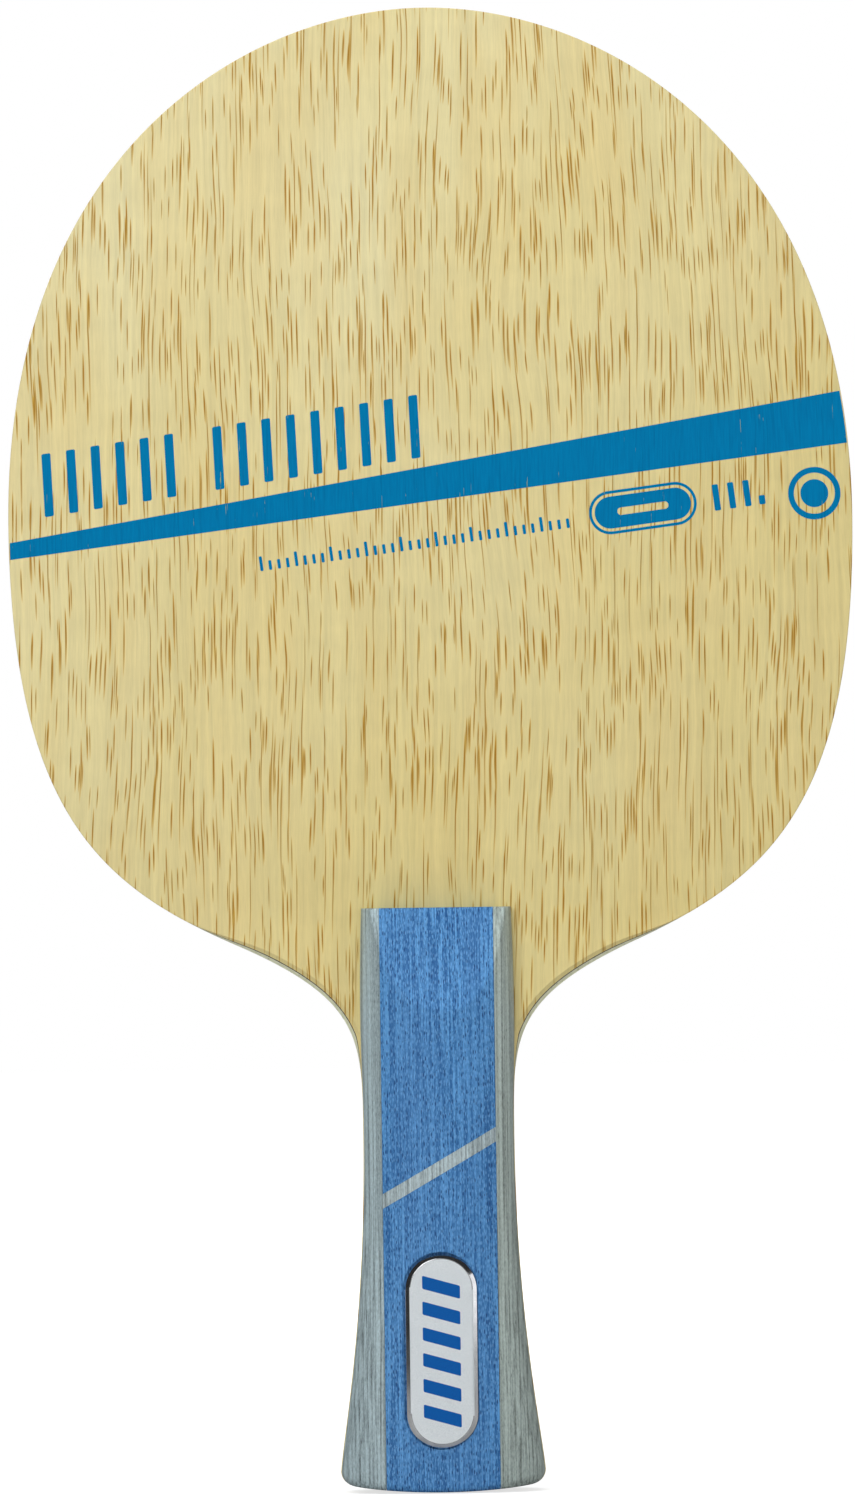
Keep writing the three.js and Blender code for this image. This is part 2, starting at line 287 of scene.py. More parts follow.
# Lights: the place from the middle of the paddle and the size, in metres, and the power in watts
LIGHTS = {
    "key": ((-0.6, -1.5, 0.75), (1.0, 1.0), 14.4),
    "fill": ((1.4, -1.0, 0.1), (0.5, 1.4), 4.3),
    "front": ((0.2, -3.4, 0.2), (2.0, 2.0), 7),
    "overhead": ((0.0, -0.3, 1.5), (1.5, 1.2), 12),
    "back": ((-0.5, 1.5, 0.6), (1.1, 1.1), 15),
    "card": ((1.5, 0.05, -0.1), (0.9, 1.6), 6.5),
}


def smoothstep(low, high, value):
    t = min(max((value - low) / (high - low), 0), 1)
    return t * t * (3 - 2 * t)


def lerp(a, b, t):
    return a + (b - a) * t


# ---- camera


def add_camera():
    data = bpy.data.cameras.new("camera")
    data.sensor_width = SENSOR
    data.lens = SENSOR * CAMERA_DISTANCE / (PICTURE_HEIGHT * MM)
    data.clip_end = 100
    camera = bpy.data.objects.new("camera", data)
    bpy.context.scene.collection.objects.link(camera)
    place = Vector((CAMERA_AIM.x * MM, -CAMERA_DISTANCE - FACE_HEIGHT * MM, CAMERA_AIM.z * MM))
    turn = Matrix.Rotation(math.radians(90), 4, "X") @ Matrix.Rotation(CAMERA_ROLL, 4, "Z")
    camera.matrix_world = Matrix.Translation(place) @ turn
    bpy.context.scene.camera = camera


add_camera()


# ---- meshes


def add_object(name, bm):
    """A finished piece from a bmesh in millimetres, smooth except at its real edges."""
    bmesh.ops.recalc_face_normals(bm, faces=bm.faces)
    for vertex in bm.verts:
        vertex.co *= MM
    mesh = bpy.data.meshes.new(name)
    bm.to_mesh(mesh)
    bm.free()
    mesh.shade_smooth()
    mesh.set_sharp_from_angle(angle=SHARP_ANGLE)
    piece = bpy.data.objects.new(name, mesh)
    bpy.context.scene.collection.objects.link(piece)
    return piece


def bridge(bm, lower, upper, closed=True):
    """Faces between two lines of points, leaving out corners that the lines share."""
    count = len(lower)
    for i in range(count if closed else count - 1):
        j = (i + 1) % count
        corners = [lower[i], lower[j], upper[j], upper[i]]
        unique = [v for k, v in enumerate(corners) if v not in corners[:k]]
        if len(unique) > 2:
            bm.faces.new(unique)


def add_rings(bm, rings):
    """A closed body in a bmesh from rings of equal length, capped at both ends."""
    made = [[bm.verts.new(point) for point in ring] for ring in rings]
    for lower, upper in zip(made, made[1:]):
        bridge(bm, lower, upper)
    bm.faces.new(made[0])
    bm.faces.new(reversed(made[-1]))


def rings_to_body(name, rings):
    bm = bmesh.new()
    add_rings(bm, rings)
    return add_object(name, bm)


def finish(piece, material, slot, *nodes):
    """Gives a piece its material and its body, and hides the CAD nodes it stands for. The slot is
    not used.
    """
    piece.data.materials.append(material)
    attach(piece, "root")
    if nodes:
        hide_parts(*nodes)


# ---- outline


def bezier(start, pull_a, pull_b, end, count):
    """Points on a cubic curve, up to but not including its end."""
    points = []
    for i in range(count):
        t = i / count
        s = 1 - t
        point = s**3 * start + 3 * s * s * t * pull_a + 3 * s * t * t * pull_b + t**3 * end
        points.append(point)
    return points


def butt_height(x):
    """Height of the crowned butt's end face."""
    return BUTT_CROWN * (x / BUTT_HALF_WIDTH) ** 2


def right_edge():
    """The right half of the outline, from the middle of the butt up to the top of the head."""
    points = []
    corner_x = BUTT_HALF_WIDTH - BUTT_EASE
    for i in range(BUTT_END_STEPS):
        x = corner_x * i / BUTT_END_STEPS
        points.append(Vector((x, butt_height(x))))
    for i in range(BUTT_STEPS):
        angle = math.radians(90) * (1 - i / BUTT_STEPS)
        x = corner_x + BUTT_EASE * math.cos(angle)
        points.append(Vector((x, butt_height(x) + BUTT_EASE * (1 - math.sin(angle)))))
    butt = Vector((BUTT_HALF_WIDTH, BUTT_TOP_Z))
    waist = Vector((WAIST_HALF_WIDTH, WAIST_Z))
    side = Vector((HEAD_HALF_WIDTH, HEAD_WIDEST_Z))
    top = Vector((0, TOTAL_LENGTH))
    up = Vector((0, 1))
    out = Vector((1, 0))
    along = Vector((math.cos(SHOULDER_SLOPE), math.sin(SHOULDER_SLOPE)))
    flare = Vector((-math.sin(BUTT_SLOPE), math.cos(BUTT_SLOPE)))
    below_shoulder = SHOULDER - SHOULDER_DOWN_PULL * along
    above_shoulder = SHOULDER + SHOULDER_UP_PULL * along
    points += bezier(butt, butt + BUTT_PULL * flare, waist - WAIST_PULL * up, waist, FLARE_STEPS)
    points += bezier(waist, waist + NECK_PULL * up, below_shoulder, SHOULDER, NECK_STEPS)
    points += bezier(SHOULDER, above_shoulder, side - CHEEK_PULL * up, side, CHEEK_STEPS)
    points += bezier(side, side + HEAD_SIDE_PULL * up, top + HEAD_TOP_PULL * out, top, HEAD_STEPS)
    points.append(top)
    return points


RIGHT_EDGE = right_edge()
EDGE_HEIGHTS = [p.y for p in RIGHT_EDGE]


def blade_half_width(z):
    """Half-width of the plies at a height."""
    i = min(max(bisect.bisect_left(EDGE_HEIGHTS, z), 1), len(RIGHT_EDGE) - 1)
    low, high = RIGHT_EDGE[i - 1], RIGHT_EDGE[i]
    return lerp(low.x, high.x, (z - low.y) / max(high.y - low.y, 1e-9))


def handle_half_width(z):
    """Half-width of the handle halves, a hair narrower than the plies up to the waist."""
    if z > NECK_Z:
        t = (z - NECK_Z) / (HANDLE_LENGTH - NECK_Z)
        return lerp(NECK_HALF_WIDTH, END_HALF_WIDTH, t * t)
    if z > WAIST_Z:
        low = WAIST_HALF_WIDTH - SCALE_STEP
        return lerp(low, NECK_HALF_WIDTH, smoothstep(WAIST_Z, NECK_Z, z))
    return blade_half_width(max(z, BUTT_TOP_Z)) - SCALE_STEP


# ---- plies


def neck_bevel(point):
    """Width of the sanded bevel at a point of the outline. It runs out beside the handle."""
    window = smoothstep(*BEVEL_FADE_IN, point.y) * (1 - smoothstep(*BEVEL_FADE_OUT, point.y))
    if window == 0:
        return 0
    room = point.x - handle_half_width(point.y) if point.y < HANDLE_LENGTH else BEVEL_WIDTH
    return min(BEVEL_WIDTH * window, max(room, 0))


def edge_ring(depth):
    """The outline at a depth under the nearer face, as (x, z) all the way round."""
    over = max(EDGE_ROUND - depth, 0)
    rounding = EDGE_ROUND - math.sqrt(EDGE_ROUND**2 - over**2)
    right = []
    last = len(RIGHT_EDGE) - 1
    for i, point in enumerate(RIGHT_EDGE):
        ahead = RIGHT_EDGE[min(i + 1, last)] - RIGHT_EDGE[max(i - 1, 0)]
        normal = Vector((0, -1 if i == 0 else 1))
        if 0 < i < last:
            normal = Vector((ahead.y, -ahead.x)).normalized()
        inset = max(rounding, neck_bevel(point) * max(0, 1 - depth / BEVEL_DEPTH))
        right.append(point - normal * inset)
    return right + [Vector((-p.x, p.y)) for p in reversed(right[1:-1])]


def ply_levels(low, high, steps):
    """Heights through a ply, close together under a face, where the edge rounds over."""
    inside = FACE_HEIGHT - EDGE_ROUND / 2
    if max(abs(low), abs(high)) < inside:
        return [lerp(low, high, i / steps) for i in range(steps + 1)]
    levels = [lerp(low, high, (i / steps) ** LEVEL_POWER) for i in range(steps + 1)]
    return levels if abs(low) > abs(high) else [low + high - y for y in reversed(levels)]


def add_ply(node, kind, material, slot):
    """One ply of the laminate, as a stack of outlines from one face to the other."""
    low, high = box_mm(node)
    rings = []
    for y in ply_levels(low.y, high.y, PLY_STEPS[kind]):
        ring = edge_ring(max(FACE_HEIGHT - abs(y), 0))
        rings.append([Vector((p.x, y, p.y)) for p in ring])
    piece = rings_to_body(f"{node}_sanded", rings)
    finish(piece, material, slot, node)


# ---- handle halves


def handle_rise(z):
    """Height of the top of the crown over the glue face, which grows from waist to butt."""
    return lerp(WAIST_RISE, BUTT_RISE, smoothstep(0, 1, 1 - z / WAIST_Z))


def crown(across, half_width, rise, z):
    """Height of the crown over the glue face, at a share across the half-width.

    The thumb slope cut into it leans a little, so that it is lower on the right.
    """
    height = rise * max(1 - abs(across) ** CROWN_POWER, 0) ** (1 / CROWN_POWER)
    run = HANDLE_LENGTH - THUMB_SLOPE_START_Z
    slope = THUMB_END_RISE + (HANDLE_LENGTH - z) * (WAIST_RISE - THUMB_END_RISE) / run
    slope -= THUMB_LEAN * across * half_width
    gap = height - slope
    if gap < -THUMB_BLEND_REACH:
        return height
    return slope + (gap - math.sqrt(gap * gap + THUMB_BLEND**2)) / 2


class Row:
    """One line of points across a handle piece.

    ease is the angle round the butt's rounded edge, on the rows that lie on it. end_ease lowers
    the row at the blade end, so that the end's edge is broken.
    """

    def __init__(self, z, ease=None, end_ease=0):
        self.z = z
        self.turn_in = 0 if ease is None else 1 - math.cos(ease)
        self.lift = None if ease is None else 1 - math.sin(ease)
        self.end_ease = end_ease

    def height(self, x):
        if self.lift is None:
            return self.z
        across = min(abs(x) / BUTT_HALF_WIDTH, 1)
        return butt_height(x) + lerp(FACE_EASE, BUTT_EASE, across * across) * self.lift

    def half_width(self, z):
        if self.lift is None:
            return handle_half_width(z)
        return BUTT_HALF_WIDTH - SCALE_STEP - BUTT_EASE * self.turn_in

    def point(self, x=None, angle=None, z=None, hand=1):
        """A point at a given x, or at an angle round the section. z moves it along the handle.

        With hand at -1 it is the mirror image of a point on the left.
        """
        if x is None:
            half_width = self.half_width(self.z)
            x = half_width * math.cos(angle) ** (2 / CROWN_POWER)
        z = self.height(x) if z is None else z
        half_width = self.half_width(z)
        rise = handle_rise(z) if self.lift is None else BUTT_RISE - FACE_EASE * self.turn_in
        across = min(x / half_width, 1)
        height = crown(hand * across, half_width, rise, z) - self.end_ease
        return Vector((x, max(height, 0), z))


def butt_rows():
    turns = [math.radians(90) * (1 - i / BUTT_STEPS) for i in range(BUTT_STEPS + 1)]
    return [Row(BUTT_TOP_Z, ease=turn) for turn in turns]


def spread(low, high):
    count = max(2, round((high - low) / GRID_STEP))
    return [lerp(low, high, i / count) for i in range(count + 1)]


def sheet_to_body(grid, side):
    """A closed body in a bmesh: a grid of (x, rise, z) points over a flat glue face."""
    turn = 1 if side == "front" else -1
    bm = bmesh.new()

    def vertex(x, rise, z):
        return bm.verts.new((x * turn, -(GLUE_HEIGHT + rise) * turn, z))

    top = [[vertex(*point) for point in row] for row in grid]
    for low, high in zip(top, top[1:]):
        bridge(bm, low, high, closed=False)
    rows, columns = len(grid), len(grid[0])
    border = [(0, c) for c in range(columns)]
    border += [(r, columns - 1) for r in range(1, rows)]
    border += [(rows - 1, c) for c in range(columns - 2, -1, -1)]
    border += [(r, 0) for r in range(rows - 2, 0, -1)]
    upper = [top[r][c] for r, c in border]
    lower = []
    for r, c in border:
        x, rise, z = grid[r][c]
        lower.append(top[r][c] if rise < 1e-6 else vertex(x, 0, z))
    bridge(bm, upper, lower)
    bm.faces.new(lower)
    return bm


def inlay_z(x):
    """Height of the diagonal inlay's middle line."""
    return INLAY_CENTRE_Z + x * INLAY_SLOPE


def centre_grids():
    """The three centre pieces as grids: upper block, inlay and lower block."""
    xs = spread(-BLOCK_HALF_WIDTH, BLOCK_HALF_WIDTH)
    half_inlay = INLAY_THICKNESS / 2 / math.cos(math.atan(INLAY_SLOPE))
    plain = Row(HANDLE_LENGTH)

    def between(low, high, shares):
        return [[plain.point(x, z=lerp(low(x), high(x), s)) for x in xs] for s in shares]

    end_z = HANDLE_LENGTH - END_EASE
    end_row = Row(HANDLE_LENGTH, end_ease=END_EASE)
    count = round((end_z - INLAY_CENTRE_Z) / GRID_STEP)
    shares = [i / count for i in range(count + 1)]
    upper = between(lambda x: inlay_z(x) + half_inlay + JOINT_GAP, lambda x: end_z, shares)
    upper.append([end_row.point(x) for x in xs])
    inlay = between(
        lambda x: inlay_z(x) - half_inlay,
        lambda x: inlay_z(x) + half_inlay,
        [i / INLAY_STEPS for i in range(INLAY_STEPS + 1)],
    )
    butt = butt_rows()
    lower = [[row.point(x) for x in xs] for row in butt]
    count = round(INLAY_CENTRE_Z / GRID_STEP)
    shares = [i / count for i in range(1, count + 1)]
    lower += between(butt[-1].height, lambda x: inlay_z(x) - half_inlay - JOINT_GAP, shares)
    return {"upper_block": upper, "inlay": inlay, "lower_block": lower}


def strip_grid(hand):
    """A side strip, drawn on the right, from the joint with the centre to the glue face.

    hand is 1 for the right strip and -1 for the left one, which is mirrored afterwards.
    """
    rows = butt_rows()
    rows += [Row(z) for z in spread(BUTT_TOP_Z, HANDLE_LENGTH - END_EASE)[1:]]
    rows.append(Row(HANDLE_LENGTH, end_ease=END_EASE))
    grid = []
    for row in rows:
        share = STRIP_INNER_X / row.half_width(row.z)
        start = math.acos(min(share, 1) ** (CROWN_POWER / 2))
        line = []
        for i in range(STRIP_STEPS + 1):
            angle = start * (1 - i / STRIP_STEPS)
            at = {"x": STRIP_INNER_X} if i == 0 else {"angle": angle}
            line.append(row.point(**at, hand=hand))
        x, _, z = line[-1]
        line[-1] = Vector((x, 0, z))
        grid.append(line)
    return grid


def mirrored(grid):
    return [[Vector((-x, rise, z)) for x, rise, z in reversed(row)] for row in grid]


# ---- badge


def badge_tilt():
    """The angle between the badge and the glue face, because the handle rises to the butt."""
    drop = handle_rise(BADGE_CENTRE_Z - BADGE_LENGTH / 2)
    drop -= handle_rise(BADGE_CENTRE_Z + BADGE_LENGTH / 2)
    return math.atan2(drop, BADGE_LENGTH)


def on_recess_floor():
    """The matrix from badge space, with y out of the recess floor, to the paddle's frame."""
    floor = GLUE_HEIGHT + handle_rise(BADGE_CENTRE_Z) - RECESS_DEPTH
    place = Matrix.Translation((0, -floor, BADGE_CENTRE_Z))
    turn = Matrix.Rotation(-badge_tilt(), 4, "X")
    return place @ turn @ Matrix.Diagonal((1, -1, 1, 1))


def stadium_ring(inset, lift):
    """The badge's outline, drawn in by an inset, at a height over the recess floor."""
    radius = BADGE_WIDTH / 2 - inset
    straight = (BADGE_LENGTH - BADGE_WIDTH) / 2
    ring = []
    for i in range(2 * BADGE_STEPS):
        angle = math.pi * i / BADGE_STEPS
        centre = straight if i < BADGE_STEPS else -straight
        ring.append(Vector((radius * math.cos(angle), lift, centre + radius * math.sin(angle))))
    to_paddle = on_recess_floor()
    return [to_paddle @ point for point in ring]


def badge_profile():
    """(inset, lift) pairs up the side of the plate, over its bevel and onto its face."""
    top = BADGE_TOP
    start = BADGE_TOP - BADGE_BEVEL
    return [
        (BADGE_EDGE, BADGE_SEAT),
        (0, BADGE_SEAT + BADGE_EDGE),
        (0, start - BADGE_EDGE),
        (0.4 * BADGE_EDGE, start + 0.4 * BADGE_EDGE),
        (BADGE_BEVEL - 2 * BADGE_EDGE, top - 2 * BADGE_EDGE),
        (BADGE_BEVEL - BADGE_EDGE, top - 1.3 * BADGE_EDGE),
        (BADGE_BEVEL, top - BADGE_EDGE),
        (BADGE_BEVEL + 1.6 * BADGE_EDGE, top - BADGE_EDGE),
        (BADGE_BEVEL + 2.4 * BADGE_EDGE, FACE_LIFT),
    ]


# ---- print


def ink_body(bm, outline):
    """A thin closed film on the front face from an outline of (x, z) points."""
    add_rings(bm, [[(x, -height, z) for x, z in outline] for height in (INK_BASE, INK_TOP)])


def ink_ring(bm, outer, inner):
    """A thin closed band between two outlines of equal length."""
    levels = []
    for height in (INK_BASE, INK_TOP):
        for outline in (outer, inner):
            levels.append([bm.verts.new((x, -height, z)) for x, z in outline])
    low_outer, low_inner, high_outer, high_inner = levels
    bridge(bm, low_outer, low_inner)
    bridge(bm, high_outer, high_inner)
    bridge(bm, low_outer, high_outer)
    bridge(bm, low_inner, high_inner)


def local_outline(points, centre, slope):
    """Places an outline given about its own origin, turned to lie along a slope."""
    angle = math.atan(slope)
    cos, sin = math.cos(angle), math.sin(angle)
    return [(centre[0] + u * cos - v * sin, centre[1] + u * sin + v * cos) for u, v in points]


def rounded_bar(width, height, radius, slant=0, steps=5):
    """A bar with round corners about its own middle, leaning by slant for each unit of height."""
    points = []
    corners = [(1, 1, 0), (-1, 1, 90), (-1, -1, 180), (1, -1, 270)]
    for side_u, side_v, start in corners:
        for i in range(steps + 1):
            angle = math.radians(start + 90 * i / steps)
            u = side_u * (width / 2 - radius) + radius * math.cos(angle)
            v = side_v * (height / 2 - radius) + radius * math.sin(angle)
            points.append((u + slant * v, v))
    return points


def stripe_end(share, sign):
    """Where a line a given share up the stripe meets the blade's edge on one side."""
    x = sign * HEAD_HALF_WIDTH
    for _ in range(EDGE_SEARCH_STEPS):
        bottom = STRIPE_BOTTOM_Z + STRIPE_BOTTOM_SLOPE * x
        top = STRIPE_TOP_Z + STRIPE_TOP_SLOPE * x
        z = lerp(bottom, top, share)
        x = sign * (blade_half_width(z) - INK_EDGE_GAP)
    return x, z


def add_stripe(material):
    shares = [i / STRIPE_STEPS for i in range(STRIPE_STEPS + 1)]
    outline = [stripe_end(s, 1) for s in shares] + [stripe_end(s, -1) for s in reversed(shares)]
    bm = bmesh.new()
    ink_body(bm, outline)
    finish(add_object("print_stripe", bm), material, "outer_veneer")


def add_bar_row(name, material, start, slope, bars, radius, slant=0):
    """A row of bars standing on a slope. Each bar is (distance along, width, height)."""
    bm = bmesh.new()
    length = math.hypot(1, slope)
    for along, width, height in bars:
        foot = (start[0] + along / length, start[1] + along * slope / length)
        shape = [(u, v + height / 2) for u, v in rounded_bar(width, height, radius, slant)]
        ink_body(bm, local_outline(shape, foot, slope))
    finish(add_object(name, bm), material, "outer_veneer")


def add_bars(material):
    """Two groups of tall bars over the stripe."""
    bars = []
    along = BAR_INDENT
    for group in BAR_GROUPS:
        for _ in range(group):
            bars.append((along, BAR_WIDTH, BAR_HEIGHT))
            along += BAR_PITCH
        along += BAR_GROUP_GAP
    add_bar_row("print_bars", material, BARS_START, BARS_SLOPE, bars, BAR_ROUND, BAR_SLANT)


def add_ticks(material):
    """A scale of short ticks under the stripe."""
    ticks = []
    for i in range(TICK_COUNT):
        height = TICK_HEIGHT if i % TICKS_TO_A_LONG_ONE else LONG_TICK_HEIGHT
        ticks.append((TICK_PITCH * i, TICK_WIDTH, height))
    add_bar_row("print_ticks", material, TICKS_START, STRIPE_BOTTOM_SLOPE, ticks, TICK_ROUND)


def add_marks(material):
    """Three short bars and a dot between the pill and the disc."""
    marks = [(along, MARK_WIDTH, MARK_HEIGHT) for along in MARK_PLACES]
    marks.append((DOT_PLACE, MARK_WIDTH, DOT_HEIGHT))
    add_bar_row("print_marks", material, MARKS_START, STRIPE_BOTTOM_SLOPE, marks, MARK_ROUND)


def add_pill(material):
    """A thin band round a round-ended bar with a slot in it."""
    bars = []
    for inset in PILL_INSETS:
        width, height = PILL_WIDTH - inset, PILL_HEIGHT - inset
        bars.append(rounded_bar(width, height, height * ROUND_END, steps=PILL_STEPS))
    bars.append(rounded_bar(*PILL_SLOT, steps=PILL_STEPS))
    shapes = [local_outline(bar, PILL_CENTRE, STRIPE_BOTTOM_SLOPE) for bar in bars]
    bm = bmesh.new()
    ink_ring(bm, shapes[0], shapes[1])
    ink_ring(bm, shapes[2], shapes[3])
    finish(add_object("print_pill", bm), material, "outer_veneer")


def add_disc(material):
    """A ring with a dot in it."""
    discs = [rounded_bar(*DISC_DOT, steps=DISC_STEPS)]
    discs += [rounded_bar(d, d, d * ROUND_END, steps=DISC_STEPS) for d in DISC_WIDTHS]
    shapes = [local_outline(disc, DISC_CENTRE, STRIPE_BOTTOM_SLOPE) for disc in discs]
    bm = bmesh.new()
    ink_body(bm, shapes[0])
    ink_ring(bm, shapes[1], shapes[2])
    finish(add_object("print_disc", bm), material, "outer_veneer")


# ---- materials


class Shader:
    """A material's node tree, with short calls for the nodes used here."""

    def __init__(self, name):
        self.material = bpy.data.materials.new(name)
        self.material.use_nodes = True
        self.tree = self.material.node_tree
        self.tree.nodes.clear()
        self.surface = self.node("ShaderNodeBsdfPrincipled")
        output = self.node("ShaderNodeOutputMaterial")
        self.tree.links.new(self.surface.outputs[0], output.inputs["Surface"])
        self.place = self.node("ShaderNodeTexCoord").outputs["Object"]
        self.x, self.y, self.z = self.split_vector(self.place)

    def node(self, kind, **settings):
        node = self.tree.nodes.new(kind)
        for key, value in settings.items():
            setattr(node, key, value)
        return node

    def put(self, socket, value):
        if isinstance(value, bpy.types.NodeSocket):
            self.tree.links.new(value, socket)
        else:
            socket.default_value = value

    def set_input(self, name, value):
        self.put(self.surface.inputs[name], value)

    def math(self, operation, *values):
        node = self.node("ShaderNodeMath", operation=operation)
        for socket, value in zip(node.inputs, values):
            self.put(socket, value)
        return node.outputs[0]

    def add(self, *values):
        total = values[0]
        for value in values[1:]:
            total = self.math("ADD", total, value)
        return total

    def times(self, a, b):
        return self.math("MULTIPLY", a, b)

    def cells(self, width, depth, length, x=None, shift=0.0):
        """Coordinates in cells with sizes in millimetres, shifted to a place of their own."""
        node = self.node("ShaderNodeCombineXYZ")
        x = self.x if x is None else x
        self.put(node.inputs[0], self.add(self.times(x, 1 / (width * MM)), shift))
        self.put(node.inputs[1], self.times(self.y, 1 / (depth * MM)))
        self.put(node.inputs[2], self.add(self.times(self.z, 1 / (length * MM)), shift))
        return node.outputs[0]

    def flat_cells(self, width, length, x=None, shift=0.0):
        """The same in the plane of the face, so that a dash keeps its shape through a veneer."""
        node = self.node("ShaderNodeCombineXYZ")
        x = self.x if x is None else x
        self.put(node.inputs[0], self.add(self.times(x, 1 / (width * MM)), shift))
        self.put(node.inputs[1], self.add(self.times(self.z, 1 / (length * MM)), shift))
        return node.outputs[0]

    def noise(self, vector, detail=2.0, roughness=0.5, flat=False):
        node = self.node("ShaderNodeTexNoise", noise_dimensions="2D" if flat else "3D")
        self.put(node.inputs["Vector"], vector)
        self.put(node.inputs["Scale"], 1.0)
        self.put(node.inputs["Detail"], detail)
        self.put(node.inputs["Roughness"], roughness)
        return node.outputs["Fac"]

    def voronoi(self, vector, flat=True):
        node = self.node("ShaderNodeTexVoronoi", voronoi_dimensions="2D" if flat else "3D")
        self.put(node.inputs["Vector"], vector)
        self.put(node.inputs["Scale"], 1.0)
        self.put(node.inputs["Randomness"], 0.9)
        return node

    def span(self, value, low, high, to_low=0.0, to_high=1.0, smooth=False):
        """A value from one range carried over to another, and held at its ends."""
        node = self.node("ShaderNodeMapRange")
        node.interpolation_type = "SMOOTHSTEP" if smooth else "LINEAR"
        for socket, item in zip(node.inputs, (value, low, high, to_low, to_high)):
            self.put(socket, item)
        return node.outputs[0]

    def mix(self, factor, a, b, blend="MIX"):
        node = self.node("ShaderNodeMix", data_type="RGBA", blend_type=blend)
        sockets = [s for s in node.inputs if s.enabled]
        for socket, value in zip(sockets, (factor, a, b)):
            self.put(socket, (*value, 1.0) if isinstance(value, tuple) else value)
        return next(s for s in node.outputs if s.enabled)

    def on_thumb_slope(self):
        """1 on the sanded thumb slope and 0 elsewhere, from the slope's own plane."""
        per_mm = (WAIST_RISE - THUMB_END_RISE) / (HANDLE_LENGTH - THUMB_SLOPE_START_Z)
        level = GLUE_HEIGHT + THUMB_END_RISE + HANDLE_LENGTH * per_mm
        lean = self.times(self.times(self.x, self.math("SIGN", self.y)), THUMB_LEAN)
        plane = self.add(level * MM, self.times(self.z, -per_mm), lean)
        over = self.math("SUBTRACT", plane, self.math("ABSOLUTE", self.y))
        return self.span(over, *[depth * MM for depth in SLOPE_HIGHLIGHT_FADE], smooth=True)

    def grip_tone(self, amount):
        """A brightness that is highest at PALEST_Z and falls off on either side of it."""
        away = self.math("ABSOLUTE", self.math("SUBTRACT", self.z, PALEST_Z * MM))
        return self.span(away, 0, PALEST_REACH * MM, 1 + amount, 1 - amount)

    def grey(self, value):
        node = self.node("ShaderNodeCombineColor")
        for socket in node.inputs[:3]:
            self.put(socket, value)
        return node.outputs[0]

    def split_colour(self, colour):
        node = self.node("ShaderNodeSeparateColor")
        self.put(node.inputs[0], colour)
        return node.outputs[:3]

    def split_vector(self, vector):
        node = self.node("ShaderNodeSeparateXYZ")
        self.put(node.inputs[0], vector)
        return node.outputs[:3]

    def scaled(self, vector, x, y):
        node = self.node("ShaderNodeVectorMath", operation="MULTIPLY")
        self.put(node.inputs[0], vector)
        node.inputs[1].default_value = (x, y, 1.0)
        return node.outputs[0]

    def difference(self, a, b):
        node = self.node("ShaderNodeVectorMath", operation="SUBTRACT")
        self.put(node.inputs[0], a)
        self.put(node.inputs[1], b)
        return node.outputs[0]

    def done(self, colour, roughness, height, bump_mm):
        """Joins up the surface. A height of 1 stands for bump_mm millimetres."""
        self.set_input("Base Color", colour)
        self.set_input("Roughness", roughness)
        bump = self.node("ShaderNodeBump")
        self.put(bump.inputs["Distance"], bump_mm * MM)
        self.put(bump.inputs["Height"], height)
        self.set_input("Normal", bump.outputs[0])
        return self.material


def wandering_x(s, shift):
    """The x coordinate with a slow sideways wander, so that the grain isn't ruled."""
    slow = s.noise(s.flat_cells(38, 120, shift=shift), flat=True)
    quick = s.noise(s.flat_cells(9, 26, shift=shift + 9), flat=True)
    wander = s.add(s.span(slow, 0, 1, -4 * MM, 4 * MM), s.span(quick, 0, 1, -0.5 * MM, 0.5 * MM))
    return s.add(s.x, wander)


def pore_dashes(s, x, width, length, smallest, largest, amount, shift):
    """Dashes along the grain, at most one to a cell. Returns their halo and their core.

    The numbers are those of PORE_LAYERS. A core is strongest at the top of its dash.
    """
    vector = s.flat_cells(width, length, x, shift)
    cell = s.voronoi(vector)
    chance, size_draw, depth_draw = s.split_colour(cell.outputs["Color"])
    figure = s.noise(s.scaled(cell.outputs["Position"], width / 8, length / 15), flat=True)
    there = s.math("GREATER_THAN", s.add(chance, s.span(figure, 0.3, 0.7, -0.4, 0.4)), 1 - amount)
    size = s.span(size_draw, 0, 1, smallest, largest)
    depth = s.math("DIVIDE", cell.outputs["Distance"], size)
    _, above, _ = s.split_vector(s.difference(vector, cell.outputs["Position"]))
    height = s.math("DIVIDE", above, size)
    strength = s.times(there, s.span(depth_draw, 0, 1, 0.65, 1.0))
    halo_strength = s.times(strength, s.span(height, -1, 0.2, 0.65, 1.0))
    core_strength = s.times(strength, s.span(height, -1, 0.3, 0.25, 1.0))
    halo = s.times(s.span(depth, 1.0, 0.7, smooth=True), halo_strength)
    core = s.times(s.span(depth, 0.8, 0.3, smooth=True), core_strength)
    return halo, core


def veneer_pores(s, shift):
    """The open pores of the veneer. Returns the wandering x, the halos and the dark cores."""
    x = wandering_x(s, shift)
    layers = [pore_dashes(s, x, *sizes, shift + extra) for *sizes, extra in PORE_LAYERS]
    halo, core = layers[0]
    for next_halo, next_core in layers[1:]:
        halo = s.math("MAXIMUM", halo, next_halo)
        core = s.math("MAXIMUM", core, next_core)
    return x, halo, core


